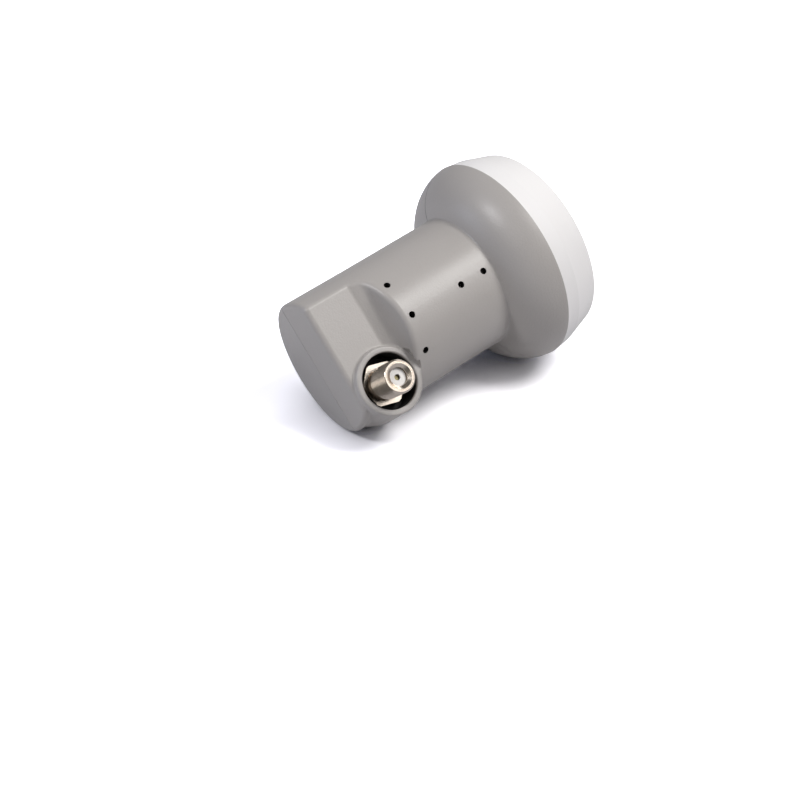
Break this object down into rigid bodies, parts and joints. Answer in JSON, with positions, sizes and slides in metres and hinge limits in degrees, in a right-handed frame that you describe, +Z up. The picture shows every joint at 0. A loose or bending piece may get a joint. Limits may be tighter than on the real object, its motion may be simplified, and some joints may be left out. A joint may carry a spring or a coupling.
{
  "type": "satellite lnb",
  "caption": "Satellite feed converter: grey moulded neck that opens into a bell, white feed cap, and a threaded coaxial connector in a round well at the rear.",
  "frame": {"origin": "on the surface it lies on, at the centre of the part's box", "axes": "+Z up from the surface; the feed looks along +X and a little upward; the connector faces -Y and up"},
  "size_m": [0.0846, 0.0614, 0.0609],
  "materials": {
    "housing": "fine moulded texture",
    "cap": "smooth moulded",
    "casting": "die cast",
    "rubber": "matte",
    "board": "laminate",
    "lid": "pressed",
    "absorber": "matte",
    "screws": "plated",
    "probe": "plated",
    "insulator": "smooth",
    "nickel": "nickel plate",
    "contact": "plated",
    "chip": "moulded",
    "ceramic": "fired"
  },
  "bodies": {
    "root": {"shell_near": "housing", "shell_far": "housing", "feed_cap": "cap", "cap_seal": "rubber", "horn_chassis": "casting", "rf_board": "board", "shield_lid": "lid", "absorber_pad": "absorber", "shield_screws": "screws", "probe_straight": "probe", "probe_cross": "probe", "probe_bushings": "insulator", "isolation_rod": "probe", "f_body": "nickel", "f_insulator": "insulator", "f_contact": "contact", "connector_seal": "rubber", "lna_transistors": "chip", "converter_chip": "chip", "crystal": "lid", "regulator": "chip", "choke": "chip", "chip_capacitors": "ceramic"}
  },
  "joints": []
}
